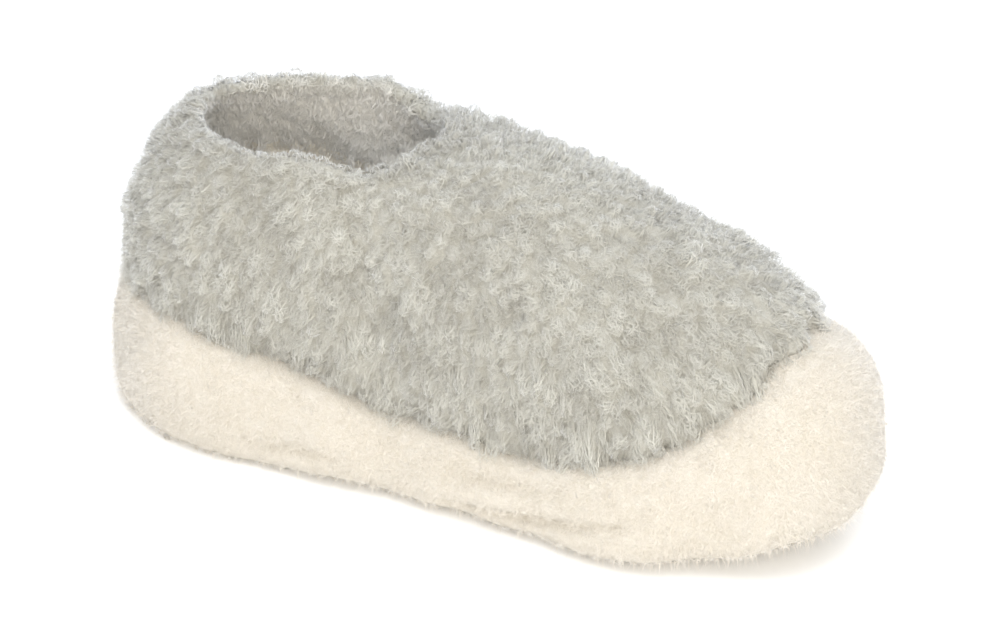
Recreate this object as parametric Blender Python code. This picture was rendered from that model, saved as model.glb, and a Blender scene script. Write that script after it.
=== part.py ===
"""Wool slipper for a left foot, built as its maker sews it.

A cream fleece sole is turned up all round into a low cup, a grey fleece upper is sewn to its edge,
and a fleece insole lies inside. +X points to the toe, -Y is the inner (arch) side and +Z is up.
The origin is on the floor under the middle of the slipper. Sizes are in millimetres.
"""

import math
from typing import NamedTuple

import bpy
import numpy as np

MM = 0.001

# Driving sizes of the whole slipper
LENGTH = 265.0  # heel to toe over the fleece
COLLAR_BACK_Z = 101.0  # top of the rim over the heel
COLLAR_FRONT_Z = 108.0  # top of the rim over the instep
HEEL_END_RADIUS = 41.0  # of the seam line, seen from above
TOE_END_RADIUS = 30.0

# Thicknesses of the fleece, pile included
UPPER_WALL = 10.0
RIM_WALL = 6.0  # of the upper at the collar's fold
SOLE_WALL = 11.0
SOLE_FLOOR = 13.0
INSOLE_THICK = 7.0
SEWN_GAP = 0.3  # between pieces that touch

# Inside of the sole's cup, and the insole in it
CUP_CORNER = 2.5  # rounding where the cup's wall meets its floor
CUP_CORNER_REACH = 0.3  # share of the cup's depth that the rounding takes
INSOLE_WIDEST = 0.35  # share of the insole's thickness where it is widest
INSOLE_BOTTOM_INSET = 1.0  # rounding of its lower edge
INSOLE_TOP_INSET = 1.5  # rounding of its upper edge

# Finish of the fleece, as linear colours
GREY = (0.50, 0.50, 0.48)
CREAM = (0.84, 0.78, 0.66)
MATT = 0.95  # roughness of wool

# Shape of the sole's side
EDGE_RISE = 0.32  # share of the side's height that the round edge takes
WIDEST_RISE = 0.36  # share of the side's height where it is widest

# Shape of the upper
SEAM_PUFF_REACH = 0.07  # share of the way to the collar where the swelling is nearly full
LEVEL_REACH = 0.35  # share of the way to the collar until which the wall's cut edge turns level
SIDE_SEAM_DEPTH = 2.5  # trough where vamp and heel band are sewn together
SIDE_SEAM_ALONG = 0.47  # where that seam meets the sole, as a share of the length
SIDE_SEAM_SPREAD = 0.035  # its half breadth, as a share of the length

# Collar, along the outer edge of its rolled rim
COLLAR_HEEL_INSET = 22.5  # from the back of the seam line to the back of the rim
COLLAR_HALF_LENGTH = 44.5
COLLAR_HALF_WIDTH = 32.0

# Mesh fineness
STATIONS = 48  # from heel to toe, on each side
ACROSS = 6  # strips across the flat of the sole and insole
RIM_STEPS = 5  # around the rolled rim
SOLE_RISES = (0.0, 0.05, 0.13, 0.24, 0.36, 0.5, 0.66, 0.82, 0.93, 1.0)
CUP_SHARES = (0.7, 0.35, 0.1, 0.0)
UPPER_RISES = (0.0, 0.04, 0.1, 0.18, 0.28, 0.4, 0.52, 0.64, 0.76, 0.88, 1.0)
UPPER_INNER_PICK = (10, 8, 6, 4, 2, 1, 0)  # rises that the inside is offset from


class Section(NamedTuple):
    """One station of the last, heel to toe."""

    along: float  # share of the seam line's length
    half_width: float  # of the seam line; the ends take their width from the end radii
    swing: float  # shift of the middle line towards the outer side
    seam_z: float  # height of the seam between sole and upper
    bulge: float  # how far the sole's side stands out past the seam
    edge: float  # how far the tread lies inside the sole's widest line
    puff: float  # how far the upper's fleece swells out above the seam
    turn: float  # where on the collar the fleece running up from here ends: 0 throat, 180 heel
    lean: float  # how late the wall leans in: 1 at once, 2 near the top
    crown: float  # how soon the wall is up: 1 steadily, 2 early


LAST = (
    Section(0.00, 0.0, 0.0, 42.0, 6.0, 3.5, 1.0, 180.0, 2.5, 1.1),
    Section(0.16, 43.5, 0.0, 40.0, 12.0, 5.0, 1.8, 136.0, 2.3, 1.1),
    Section(0.36, 42.0, -1.2, 32.5, 13.5, 7.0, 3.0, 84.0, 1.9, 1.07),
    Section(0.47, 43.3, 0.0, 26.0, 12.0, 7.5, 3.5, 58.0, 1.65, 1.3),
    Section(0.66, 46.5, -1.0, 26.0, 10.5, 9.0, 4.0, 38.0, 1.35, 1.7),
    Section(0.87, 40.0, -6.0, 39.5, 12.5, 10.0, 4.0, 17.0, 1.3, 1.6),
    Section(1.00, 0.0, -10.0, 68.0, 25.5, 12.0, 3.0, 0.0, 1.43, 1.5),
)


class Tread(NamedTuple):
    """Lift of the tread off the floor at one station."""

    along: float  # share of the seam line's length
    lift: float


TREAD = (
    Tread(0.00, 0.5),
    Tread(0.07, 0.0),
    Tread(0.27, 0.0),
    Tread(0.41, 0.8),
    Tread(0.55, 0.0),
    Tread(0.78, 0.0),
    Tread(0.89, 2.0),
    Tread(1.00, 9.0),
)


class Rim(NamedTuple):
    """Height of the collar's rim at one place of its length."""

    along: float  # share of the opening's length, throat to heel
    top_z: float


COLLAR_RIM = (
    Rim(0.00, COLLAR_FRONT_Z),
    Rim(0.05, 105.0),
    Rim(0.19, 100.5),
    Rim(0.36, 103.0),
    Rim(0.63, 100.5),
    Rim(0.88, 100.5),
    Rim(1.00, COLLAR_BACK_Z),
)


def smooth(knots, values, at):
    """A curve through the table's values that never overshoots them."""
    knots, values, at = np.asarray(knots, float), np.asarray(values, float), np.asarray(at, float)
    step = np.diff(knots)
    slope = np.diff(values) / step
    product = slope[:-1] * slope[1:]
    total = np.where(product > 0, slope[:-1] + slope[1:], 1.0)
    inner = np.where(product > 0, 2 * product / total, 0.0)
    tangent = np.concatenate(([slope[0]], inner, [slope[-1]]))
    row = np.clip(np.searchsorted(knots, at, side="right") - 1, 0, len(step) - 1)
    t = (at - knots[row]) / step[row]
    rise = t * t * (3 - 2 * t)
    start = t * (1 - t) ** 2 * step[row]
    end = t * t * (t - 1) * step[row]
    return (
        values[row] * (1 - rise)
        + values[row + 1] * rise
        + tangent[row] * start
        + tangent[row + 1] * end
    )


def last(column, along):
    """A column of the last's table at any share of the length."""
    return smooth([s.along for s in LAST], [getattr(s, column) for s in LAST], along)


SEAM_LENGTH = LENGTH - LAST[0].bulge - LAST[-1].bulge
SEAM_HEEL_X = -LENGTH / 2 + LAST[0].bulge


def end_rounding(along):
    """Half width of a round-ended outline at a share of its length, where 1 is the middle's."""
    return np.sqrt(np.clip(1 - (1 - 2 * np.asarray(along, float)) ** 2, 0, 1))


def half_width(along):
    """Half width of the seam line, round at heel and toe."""
    heel = math.sqrt(HEEL_END_RADIUS * SEAM_LENGTH / 2)
    between = [s.half_width / end_rounding(s.along) for s in LAST[1:-1]]
    toe = math.sqrt(TOE_END_RADIUS * SEAM_LENGTH / 2)
    return smooth([s.along for s in LAST], [heel, *between, toe], along) * end_rounding(along)


def around():
    """Share of the length and side of each point of a ring: along the inner side, back by the outer."""
    heel_to_toe = (1 - np.cos(np.linspace(0, math.pi, STATIONS + 1))) / 2
    along = np.concatenate((heel_to_toe, heel_to_toe[-2:0:-1]))
    side = np.concatenate((-np.ones(STATIONS + 1), np.ones(STATIONS - 1)))
    side[[0, STATIONS]] = 0
    return along, side


ALONG, SIDE = around()


def seam_outline():
    """The seam line seen from above with the sole centred on X, and its outward directions."""
    x = SEAM_HEEL_X + SEAM_LENGTH * ALONG
    y = last("swing", ALONG) + SIDE * half_width(ALONG)
    line = np.stack((x, y), axis=1)
    run = np.roll(line, -1, axis=0) - np.roll(line, 1, axis=0)
    run /= np.linalg.norm(run, axis=1)[:, None]
    outward = np.stack((run[:, 1], -run[:, 0]), axis=1)
    widest_y = y + outward[:, 1] * BULGE
    line[:, 1] -= (widest_y.min() + widest_y.max()) / 2
    return line, outward


BULGE = last("bulge", ALONG)
SEAM_XY, OUTWARD = seam_outline()
SEAM_Z = last("seam_z", ALONG)
FLOOR_Z = smooth([t.along for t in TREAD], [t.lift for t in TREAD], ALONG)


def ring(out, z):
    """A closed ring that stands a distance outside the seam line, at a height."""
    xy = SEAM_XY + OUTWARD * np.asarray(out).reshape(-1, 1)
    return np.column_stack((xy, z))


def sole_out(rise):
    """How far the sole's side stands outside the seam line at a share of its height."""
    over = np.clip((rise - WIDEST_RISE) / (1 - WIDEST_RISE), 0, 1)
    swell = BULGE * np.sqrt(1 - over**2)
    under = np.clip(1 - rise / EDGE_RISE, 0, 1)
    return swell - last("edge", ALONG) * (1 - np.sqrt(1 - under**2))


def sole_outer_rings():
    """The sole's side from its tread edge up to the seam."""
    return [ring(sole_out(rise), FLOOR_Z + rise * (SEAM_Z - FLOOR_Z)) for rise in SOLE_RISES]


def cup_ring(share):
    """A ring on the inside of the sole's cup, a share of the way from its floor to the seam."""
    floor_z = FLOOR_Z + SOLE_FLOOR
    z = floor_z + share * (SEAM_Z - floor_z)
    rise = (z - FLOOR_Z) / (SEAM_Z - FLOOR_Z)
    corner = CUP_CORNER * max(0.0, 1 - share / CUP_CORNER_REACH) ** 2
    return ring(sole_out(rise) - SOLE_WALL - corner, z)


def ring_share(along):
    """Share of the way around one side of a ring, which steps evenly through the round ends."""
    return np.arccos(1 - 2 * np.asarray(along, float)) / math.pi


def collar_line():
    """The ring along the outer edge of the collar's rolled rim."""
    shares = ring_share([s.along for s in LAST])
    turn = np.radians(smooth(shares, [s.turn for s in LAST], ring_share(ALONG)))
    x = SEAM_HEEL_X + COLLAR_HEEL_INSET + COLLAR_HALF_LENGTH * (1 + np.cos(turn))
    y = SIDE * COLLAR_HALF_WIDTH * np.sin(turn)
    z = smooth([r.along for r in COLLAR_RIM], [r.top_z for r in COLLAR_RIM], (1 - np.cos(turn)) / 2)
    return np.column_stack((x, y, z - RIM_WALL / 2))


def grid_normals(rings):
    """Outward unit normals of a stack of closed rings."""
    along_ring = np.roll(rings, -1, axis=1) - np.roll(rings, 1, axis=1)
    up_stack = np.gradient(rings, axis=0)
    normal = np.cross(along_ring, up_stack)
    return normal / np.linalg.norm(normal, axis=2)[:, :, None]


def upper_rings():
    """The upper as one closed loop of rings: up the outside, over the rim and down the inside."""
    foot = ring(0.0 * ALONG, SEAM_Z + SEWN_GAP)
    rim = collar_line()
    lean, crown = last("lean", ALONG), last("crown", ALONG)
    plain = []
    for rise in UPPER_RISES:
        over = (rise**lean)[:, None]
        xy = foot[:, :2] * (1 - over) + rim[:, :2] * over
        z = rim[:, 2] - (rim[:, 2] - foot[:, 2]) * (1 - rise) ** crown
        plain.append(np.column_stack((xy, z)))
    plain = np.array(plain)
    rises = np.array(UPPER_RISES)[:, None]
    level = np.column_stack((OUTWARD, np.zeros(len(ALONG))))
    free = np.clip(rises / LEVEL_REACH, 0, 1)[:, :, None]
    normal = level * (1 - free) + grid_normals(plain) * free
    normal /= np.linalg.norm(normal, axis=2)[:, :, None]

    puff = last("puff", ALONG) * (1 - np.exp(-rises / SEAM_PUFF_REACH)) * np.sqrt(1 - rises)
    trough = np.exp(-(((ALONG - SIDE_SEAM_ALONG) / SIDE_SEAM_SPREAD) ** 2))
    swell = puff - SIDE_SEAM_DEPTH * trough[None, :] * np.sin(math.pi * np.sqrt(rises)) ** 0.5
    outside = plain + normal * swell[:, :, None]
    thick = UPPER_WALL + (RIM_WALL - UPPER_WALL) * rises**2
    inside = plain - normal * thick[:, :, None]

    middle = (outside[-1] + inside[-1]) / 2
    onward = plain[-1] - plain[-2]
    onward -= normal[-1] * np.sum(onward * normal[-1], axis=1)[:, None]
    onward /= np.linalg.norm(onward, axis=1)[:, None]
    roll = []
    for step in range(1, RIM_STEPS + 1):
        angle = math.pi * step / (RIM_STEPS + 1)
        roll.append(middle + RIM_WALL / 2 * (math.cos(angle) * normal[-1] + math.sin(angle) * onward))
    return [*outside, *roll, *(inside[i] for i in UPPER_INNER_PICK)]


class Builder:
    """Collects rings of points and the faces between them."""

    def __init__(self):
        """Starts with nothing collected."""
        self.points = []
        self.faces = []

    def add_ring(self, points):
        """Adds a ring's points and returns their numbers."""
        first = len(self.points)
        self.points.extend(np.asarray(points) * MM)
        return list(range(first, first + len(points)))

    def join(self, lower, upper):
        """Faces between two rings, looking outwards where the second lies above the first."""
        for i, (a, b) in enumerate(zip(lower, upper)):
            after = (i + 1) % len(lower)
            self.faces.append((a, lower[after], b))
            self.faces.append((lower[after], upper[after], b))

    def loft(self, rings, closed=False):
        """Faces through a stack of rings, and back to the first if closed. Returns its rings' numbers."""
        numbers = [self.add_ring(r) for r in rings]
        for lower, upper in zip(numbers, numbers[1:]):
            self.join(lower, upper)
        if closed:
            self.join(numbers[-1], numbers[0])
        return numbers

    def cap(self, edge, facing_up):
        """Fills a ring with strips across it, from the heel's point to the toe's."""
        rows = [[edge[0]]]
        for k in range(1, STATIONS):
            inner, outer = edge[k], edge[-k]
            shares = np.linspace(0, 1, ACROSS + 1)[1:-1, None]
            between = np.asarray(self.points[inner]) * (1 - shares) + np.asarray(self.points[outer]) * shares
            rows.append([inner, *self.add_ring(between / MM), outer])
        rows.append([edge[STATIONS]])
        for near, far in zip(rows, rows[1:]):
            for c in range(ACROSS):
                corners = []
                for row, column in ((near, c), (near, c + 1), (far, c + 1), (far, c)):
                    number = row[min(column, len(row) - 1)]
                    if number not in corners:
                        corners.append(number)
                self.faces.append(tuple(reversed(corners)) if facing_up else tuple(corners))

    def make(self, name, material, parent):
        """The Blender object of what was collected."""
        mesh = bpy.data.meshes.new(name)
        mesh.from_pydata([tuple(p) for p in self.points], [], self.faces)
        mesh.validate()
        mesh.shade_smooth()
        mesh.materials.append(material)
        made = bpy.data.objects.new(name, mesh)
        made.parent = parent
        bpy.context.scene.collection.objects.link(made)
        return made


def fleece(name, colour):
    """A matt wool finish."""
    material = bpy.data.materials.new(name)
    material.use_nodes = True
    shader = material.node_tree.nodes["Principled BSDF"]
    shader.inputs["Base Color"].default_value = (*colour, 1.0)
    shader.inputs["Roughness"].default_value = MATT
    shader.inputs["Metallic"].default_value = 0.0
    return material


def make_sole(material, parent):
    """The cream fleece cup that wraps up the foot all round."""
    sole = Builder()
    lip = ring(-UPPER_WALL * np.ones(len(ALONG)), SEAM_Z)
    cup = [cup_ring(share) for share in CUP_SHARES]
    numbers = sole.loft([*sole_outer_rings(), lip, *cup])
    sole.cap(numbers[0], facing_up=False)
    sole.cap(numbers[-1], facing_up=True)
    return sole.make("sole", material, parent)


def make_upper(material, parent):
    """Vamp and heel band in grey fleece, open at the collar and underneath."""
    upper = Builder()
    upper.loft(upper_rings(), closed=True)
    return upper.make("upper", material, parent)


def make_insole(material, parent):
    """The fleece pad that lies on the cup's floor."""
    insole = Builder()
    under_z = FLOOR_Z + SOLE_FLOOR + SEWN_GAP
    edge = sole_out((under_z - FLOOR_Z) / (SEAM_Z - FLOOR_Z)) - SOLE_WALL - CUP_CORNER - SEWN_GAP
    bottom = ring(edge - INSOLE_BOTTOM_INSET, under_z)
    side = ring(edge, under_z + INSOLE_THICK * INSOLE_WIDEST)
    top = ring(edge - INSOLE_TOP_INSET, under_z + INSOLE_THICK)
    numbers = insole.loft([bottom, side, top])
    insole.cap(numbers[0], facing_up=False)
    insole.cap(numbers[-1], facing_up=True)
    return insole.make("insole", material, parent)


def main():
    """Builds the three fleece pieces under one empty."""
    for old in list(bpy.data.objects):
        bpy.data.objects.remove(old)
    slipper = bpy.data.objects.new("slipper", None)
    bpy.context.scene.collection.objects.link(slipper)
    grey = fleece("grey fleece", GREY)
    cream = fleece("cream fleece", CREAM)
    make_sole(cream, slipper)
    make_upper(grey, slipper)
    make_insole(cream, slipper)


main()
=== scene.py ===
"""Looks of a wool slipper for a left foot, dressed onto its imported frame.

Skins of fleece cloth stand for the sole, the upper and the insole, and locks of wool grow on them.
+X points to the toe, -Y is the inner (arch) side and +Z is up. Sizes are in millimetres, and a mesh
is written in metres.
"""

import logging
import math
from dataclasses import dataclass, field, fields, replace
from enum import Enum, IntEnum
from typing import NamedTuple

import bpy
import numpy as np
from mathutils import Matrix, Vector
from mathutils.kdtree import KDTree


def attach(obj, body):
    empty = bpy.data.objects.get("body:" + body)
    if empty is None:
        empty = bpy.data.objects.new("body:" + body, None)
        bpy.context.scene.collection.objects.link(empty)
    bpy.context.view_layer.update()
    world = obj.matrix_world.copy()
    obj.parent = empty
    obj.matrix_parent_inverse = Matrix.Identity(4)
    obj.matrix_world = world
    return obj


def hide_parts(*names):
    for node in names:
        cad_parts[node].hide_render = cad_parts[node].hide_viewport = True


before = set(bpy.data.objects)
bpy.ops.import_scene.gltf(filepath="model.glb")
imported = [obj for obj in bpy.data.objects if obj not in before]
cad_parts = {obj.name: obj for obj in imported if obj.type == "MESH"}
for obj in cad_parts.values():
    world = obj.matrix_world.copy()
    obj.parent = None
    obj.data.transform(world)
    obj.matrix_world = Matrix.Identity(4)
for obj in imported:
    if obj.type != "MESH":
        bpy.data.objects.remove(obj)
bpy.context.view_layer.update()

LOG = logging.getLogger("slipper")
Array = np.ndarray
MM = 0.001
BODY = "root"
BAKE_MAP = "OFBake"  # the map that the finish can be baked onto

# Random fields
WAVES = 20  # summed in one field
WAVE_PITCH = (0.6, 1.4)  # waves to a length, as shares of the field's own

# Wool
FLOOR_CLEARANCE = 0.15  # no strand lies lower
CLUSTER = 9.0  # locks of one such patch lie the same way
PATCH = 20.0  # patches of lighter and darker wool
TRIES = 5  # random places that are tried for each lock
LEAST_STRANDS = 3  # the fewest strands drawn in a lock

# Tone of the wool, 0 dark to 1 light
LOCK_TONE = 0.5
LOCK_TONE_SCATTER = 0.08
PATCH_TONE = 0.2
SWELL_PAINTED_SHADE = 0.45  # painted shade: how much lighter the wool is for each millimetre that the cloth swells, and darker where it sinks into hollows and creases
LOCK_TONE_RANGE = (0.05, 0.9)

# Bake map of the strands, on which each lies by its tone and its reach
CHART_HALF = 0.004  # half the breadth of a strand there
CHART_TONES = (0.01, 0.99)
CHART_REACH = (0.02, 0.98)


class Draw(IntEnum):
    """Seeds of the random draws, one for each thing that is scattered."""

    UPPER_FILLING = 11
    OUTSIDE_LOCKS = 12
    RIM_LOCKS = 13
    LINING_LOCKS = 14
    VAMP_STRANDS = 15
    HEEL_BAND_STRANDS = 16
    RIM_STRANDS = 17
    LINING_STRANDS = 18
    CLUMPS = 19
    PATCHES = 20
    LOBES = 21
    SKIRT = 22
    FACING_LOCKS = 23
    FOLD_LOCKS = 24
    FOLD_STRANDS = 25
    FACING_STRANDS = 27
    SOLE_FILLING = 41
    SIDE_LOCKS = 42
    TREAD_LOCKS = 43
    SIDE_STRANDS = 44
    TREAD_STRANDS = 45
    INSOLE_LOCKS = 71
    INSOLE_STRANDS = 72


class Section(NamedTuple):
    """One station of the last, heel to toe."""

    along: float  # share of the seam line's length
    half_width: float  # of the seam line; the ends take their width from the end radii
    swing: float  # shift of the middle line towards the outer side
    seam_z: float  # height of the seam between sole and upper
    bulge: float  # how far the sole's side stands out past the seam
    edge: float  # how far the tread lies inside the sole's widest line
    puff: float  # how far the upper's fleece swells out above the seam
    turn: float  # where on the collar the fleece running up from here ends: 0 throat, 180 heel
    lean: float  # how late the wall leans in: 1 at once, 2 near the top
    crown: float  # how soon the wall is up: 1 steadily, 2 early


class Level(NamedTuple):
    """A height at one place of a line."""

    along: float  # share of the line's length
    z: float


class Crease(NamedTuple):
    """A soft fold in the sole's turned-up side."""

    side: float  # -1 on the inner side, 1 on the outer
    start: float  # share of the length
    end: float
    start_rise: float  # share of the side's height
    end_rise: float
    breadth: float
    depth: float  # below the fleece; a ridge is less than 0


SECTIONS = (
    Section(0.00, 0.0, 0.0, 42.0, 6.0, 3.5, 1.0, 180.0, 2.5, 1.1),
    Section(0.16, 43.5, 0.0, 40.0, 12.0, 5.0, 1.8, 136.0, 2.3, 1.1),
    Section(0.36, 42.0, -1.2, 32.5, 13.5, 7.0, 3.0, 84.0, 1.9, 1.07),
    Section(0.47, 43.3, 0.0, 26.0, 12.0, 7.5, 3.5, 58.0, 1.65, 1.3),
    Section(0.66, 46.5, -1.0, 26.0, 10.5, 9.0, 4.0, 38.0, 1.35, 1.7),
    Section(0.87, 40.0, -6.0, 39.5, 12.5, 10.0, 4.0, 17.0, 1.3, 1.6),
    Section(1.00, 0.0, -10.0, 68.0, 25.5, 12.0, 3.0, 0.0, 1.43, 1.5),
)
# Lift of the tread off the floor, heel to toe along the seam line
TREAD = (
    Level(0.00, 0.5),
    Level(0.07, 0.0),
    Level(0.27, 0.0),
    Level(0.41, 0.8),
    Level(0.55, 0.0),
    Level(0.78, 0.0),
    Level(0.89, 2.0),
    Level(1.00, 9.0),
)
# Top of the collar's rim, throat to heel along the opening
COLLAR_RIM = (
    Level(0.00, 108.0),
    Level(0.05, 105.0),
    Level(0.19, 100.5),
    Level(0.36, 103.0),
    Level(0.63, 100.5),
    Level(0.88, 100.5),
    Level(1.00, 101.0),
)


def smooth(knots: list[float], values: list[float], at: Array) -> Array:
    """A curve through a table's values that never overshoots them.

    Args:
        knots: where the values stand, rising.
        values: the table's values.
        at: where the curve is wanted.

    Returns:
        The curve's values there.
    """
    knots, values, at = np.asarray(knots, float), np.asarray(values, float), np.asarray(at, float)
    step = np.diff(knots)
    slope = np.diff(values) / step
    product = slope[:-1] * slope[1:]
    total = np.where(product > 0, slope[:-1] + slope[1:], 1.0)
    inner = np.where(product > 0, 2 * product / total, 0.0)
    tangent = np.concatenate(([slope[0]], inner, [slope[-1]]))
    row = np.clip(np.searchsorted(knots, at, side="right") - 1, 0, len(step) - 1)
    t = (at - knots[row]) / step[row]
    rise = t * t * (3 - 2 * t)
    start = t * (1 - t) ** 2 * step[row]
    end = t * t * (t - 1) * step[row]
    plain = values[row] * (1 - rise) + values[row + 1] * rise
    return plain + tangent[row] * start + tangent[row + 1] * end


def levels(table: tuple[Level, ...], at: Array) -> Array:
    """The heights of a table of levels at shares of its line."""
    return smooth([row.along for row in table], [row.z for row in table], at)


def unit(vectors: Array) -> Array:
    """Vectors scaled to a length of one."""
    return vectors / np.maximum(np.linalg.norm(vectors, axis=-1, keepdims=True), 1e-9)


def wander(points: Array, size: float, seed: int) -> Array:
    """Smooth random values in space that lie about 0, most of them within 1 of it.

    Args:
        points: where they are wanted.
        size: how far apart neighbouring swells are.
        seed: which of the random fields.

    Returns:
        One value for each point.
    """
    rng = np.random.default_rng(seed)
    waves = unit(rng.normal(size=(WAVES, 3))) * (2 * math.pi / size) * rng.uniform(*WAVE_PITCH, (WAVES, 1))
    starts = rng.uniform(0, 2 * math.pi, WAVES)
    return np.sin(points @ waves.T + starts).sum(axis=-1) / math.sqrt(WAVES / 2)


@dataclass
class Last:
    """The slipper's form as the frame holds it, drawn as closed rings from heel to toe and back."""

    stations: int = 200  # points from heel to toe on each side of a ring
    length: float = 265.0
    heel_end_radius: float = 41.0  # of the seam line, seen from above
    toe_end_radius: float = 30.0
    upper_wall: float = 10.0
    rim_wall: float = 6.0  # of the upper at the collar's fold
    sole_wall: float = 11.0
    sole_floor: float = 13.0
    sewn_gap: float = 0.3  # between pieces that touch
    cup_corner: float = 2.5  # rounding where the cup's wall meets its floor
    cup_corner_reach: float = 0.3  # share of the cup's depth that the rounding takes
    edge_rise: float = 0.32  # share of the sole's side that its round edge takes
    widest_rise: float = 0.36  # share of the sole's side where it is widest
    puff_reach: float = 0.07  # share of the way to the collar where the swelling is nearly full
    level_reach: float = 0.35  # share until which the wall's cut edge turns level
    side_seam_depth: float = 2.5  # trough where vamp and heel band are sewn together
    side_seam_along: float = 0.47  # where that seam meets the sole, as a share of the length
    side_seam_spread: float = 0.035  # its half breadth, as a share of the length
    collar_heel_inset: float = 22.5  # from the back of the seam line to the back of the rim
    collar_half_length: float = 44.5
    collar_half_width: float = 32.0
    normal_chord: float = 0.1  # share of the wall over which its slope is taken

    def __post_init__(self) -> None:
        """Works out the rings' shares, the seam line and the tread."""
        heel_to_toe = (1 - np.cos(np.linspace(0, math.pi, self.stations + 1))) / 2
        self.along = np.concatenate((heel_to_toe, heel_to_toe[-2:0:-1]))
        self.side = np.concatenate((-np.ones(self.stations + 1), np.ones(self.stations - 1)))
        self.side[[0, self.stations]] = 0
        self.columns = len(self.along)
        self.seam_length = self.length - SECTIONS[0].bulge - SECTIONS[-1].bulge
        self.seam_heel_x = -self.length / 2 + SECTIONS[0].bulge
        self.bulge = self.column("bulge")
        self.seam_z = self.column("seam_z")
        self.floor_z = levels(TREAD, self.along)
        self.seam_xy, self.outward = self.seam_outline()
        self.rim = self.collar_line()

    def column(self, name: str) -> Array:
        """A column of the last's table around the ring."""
        return smooth([s.along for s in SECTIONS], [getattr(s, name) for s in SECTIONS], self.along)

    @staticmethod
    def end_rounding(along: Array) -> Array:
        """Half width of a round-ended outline, where 1 is the middle's."""
        return np.sqrt(np.clip(1 - (1 - 2 * np.asarray(along, float)) ** 2, 0, 1))

    def half_width(self) -> Array:
        """Half width of the seam line, round at heel and toe.

        Returns:
            One width for each column.
        """
        heel = math.sqrt(self.heel_end_radius * self.seam_length / 2)
        between = [s.half_width / self.end_rounding(s.along) for s in SECTIONS[1:-1]]
        toe = math.sqrt(self.toe_end_radius * self.seam_length / 2)
        widths = smooth([s.along for s in SECTIONS], [heel, *between, toe], self.along)
        return widths * self.end_rounding(self.along)

    def seam_outline(self) -> tuple[Array, Array]:
        """The seam line seen from above, with the sole centred on X.

        Returns:
            Its points and its outward directions.
        """
        x = self.seam_heel_x + self.seam_length * self.along
        y = self.column("swing") + self.side * self.half_width()
        line = np.stack((x, y), axis=1)
        run = unit(np.roll(line, -1, axis=0) - np.roll(line, 1, axis=0))
        outward = np.stack((run[:, 1], -run[:, 0]), axis=1)
        widest_y = y + outward[:, 1] * self.bulge
        line[:, 1] -= (widest_y.min() + widest_y.max()) / 2
        return line, outward

    def ring(self, out: Array, z: Array) -> Array:
        """A closed ring that stands a distance outside the seam line, at a height."""
        out = np.broadcast_to(out, self.along.shape)
        return np.column_stack((self.seam_xy + self.outward * out[:, None], z))

    def sole_out(self, rise: Array) -> Array:
        """How far the sole's side stands outside the seam line.

        Args:
            rise: share of the side's height.

        Returns:
            One distance for each column.
        """
        over = np.clip((rise - self.widest_rise) / (1 - self.widest_rise), 0, 1)
        under = np.clip(1 - rise / self.edge_rise, 0, 1)
        return self.bulge * np.sqrt(1 - over**2) - self.column("edge") * (1 - np.sqrt(1 - under**2))

    def sole_side(self, rise: float) -> Array:
        """A ring on the sole's side."""
        return self.ring(self.sole_out(rise), self.floor_z + rise * (self.seam_z - self.floor_z))

    def cup_side(self, share: float) -> Array:
        """A ring inside the sole's cup.

        Args:
            share: of the way from the cup's floor to the seam.

        Returns:
            The ring's points.
        """
        floor_z = self.floor_z + self.sole_floor
        z = floor_z + share * (self.seam_z - floor_z)
        rise = (z - self.floor_z) / (self.seam_z - self.floor_z)
        corner = self.cup_corner * max(0.0, 1 - share / self.cup_corner_reach) ** 2
        return self.ring(self.sole_out(rise) - self.sole_wall - corner, z)

    @staticmethod
    def ring_share(along: Array) -> Array:
        """Share of the way around one side of a ring."""
        return np.arccos(1 - 2 * np.asarray(along, float)) / math.pi

    def collar_line(self) -> Array:
        """The ring along the outer edge of the collar's rolled rim.

        Returns:
            The ring's points.
        """
        shares = self.ring_share([s.along for s in SECTIONS])
        turn = np.radians(smooth(shares, [s.turn for s in SECTIONS], self.ring_share(self.along)))
        x = self.seam_heel_x + self.collar_heel_inset + self.collar_half_length * (1 + np.cos(turn))
        y = self.side * self.collar_half_width * np.sin(turn)
        z = levels(COLLAR_RIM, (1 - np.cos(turn)) / 2)
        return np.column_stack((x, y, z - self.rim_wall / 2))

    def wall(self, rises: Array) -> Array:
        """The upper's plain surface from the seam to the collar, before it swells.

        Args:
            rises: shares of the way up, one for each ring.

        Returns:
            Points by ring and column.
        """
        rise = np.asarray(rises, float)[:, None]
        over = (rise ** self.column("lean"))[:, :, None]
        foot_z = self.seam_z + self.sewn_gap
        xy = self.seam_xy * (1 - over) + self.rim[:, :2] * over
        z = self.rim[:, 2] - (self.rim[:, 2] - foot_z) * (1 - rise) ** self.column("crown")
        return np.concatenate((xy, z[:, :, None]), axis=2)

    def wall_normals(self, rises: Array) -> Array:
        """Directions in which the upper's wall is thick, level at its sewn foot.

        Args:
            rises: shares of the way up, one for each ring.

        Returns:
            Directions by ring and column.
        """
        rises = np.asarray(rises, float)
        plain = self.wall(rises)
        run = np.roll(plain, -1, axis=1) - np.roll(plain, 1, axis=1)
        above = self.wall(np.minimum(rises + self.normal_chord, 1))
        below = self.wall(np.maximum(rises - self.normal_chord, 0))
        level = np.column_stack((self.outward, np.zeros(self.columns)))
        free = np.clip(rises / self.level_reach, 0, 1)[:, None, None]
        return unit(level * (1 - free) + unit(np.cross(run, above - below)) * free)

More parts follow.
